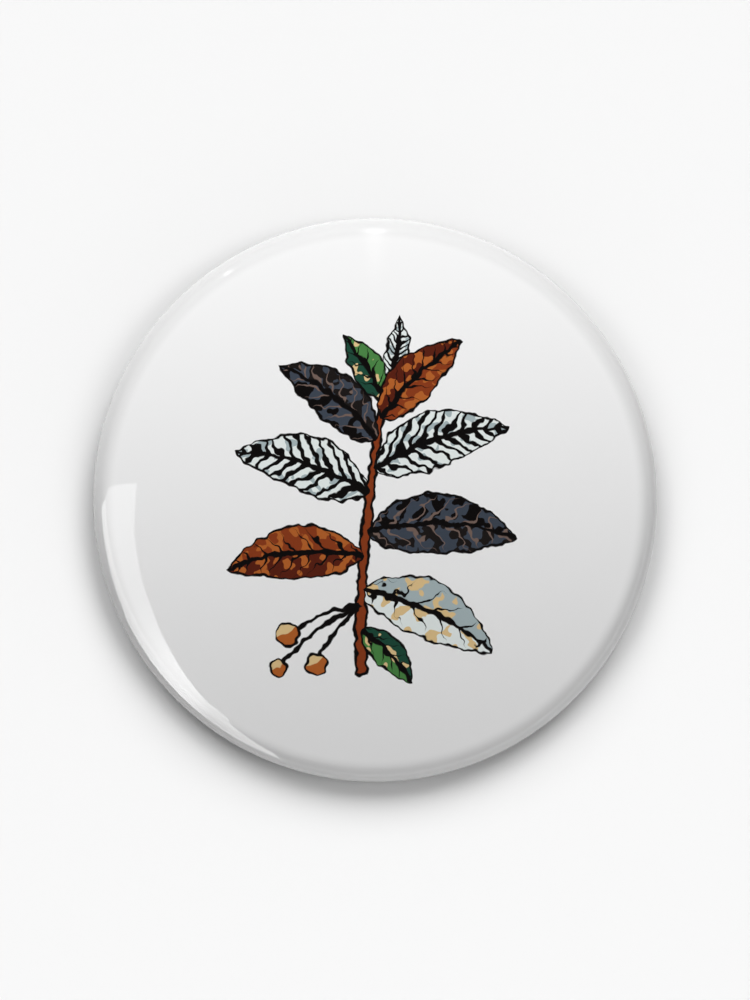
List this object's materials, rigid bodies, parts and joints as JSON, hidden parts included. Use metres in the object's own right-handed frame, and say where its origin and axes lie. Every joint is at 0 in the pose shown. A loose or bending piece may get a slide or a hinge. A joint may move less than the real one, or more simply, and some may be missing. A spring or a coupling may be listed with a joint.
{
  "type": "pin-back button badge",
  "caption": "Round domed white button badge with a leaf print under clear film, a curled rim, and a dished tinplate back with a spring-wire pin that swings out of a stamped catch.",
  "frame": {"origin": "on the resting plane, under the middle of the badge, which lies on its back", "axes": "+Z out of the domed face, +Y towards the top of the print, +X to the right of the print"},
  "size_m": [0.058, 0.058, 0.0065],
  "materials": {
    "film": "clear gloss film stretched over the print",
    "paper": "white paper with a coloured print, seen through the film",
    "tinplate": "bright tinplate with a fine rolling grain",
    "pin_wire": "nickel-plated spring wire"
  },
  "bodies": {
    "badge": {"clear_film": "film", "printed_paper": "paper", "front_shell": "tinplate", "back_plate": "tinplate", "pin_leg": "pin_wire", "pin_loop": "pin_wire"},
    "pin": {"pin_arm": "pin_wire"}
  },
  "joints": [
    {"name": "pin_open", "type": "hinge", "parent": "badge", "child": "pin", "pos_m": [-0.0175, 0.003, 0.0013], "axis": [0, 0, -1], "range_deg": [0, 30], "stiffness_Nm_per_rad": 0.44, "deforming": ["pin_loop"]}
  ]
}
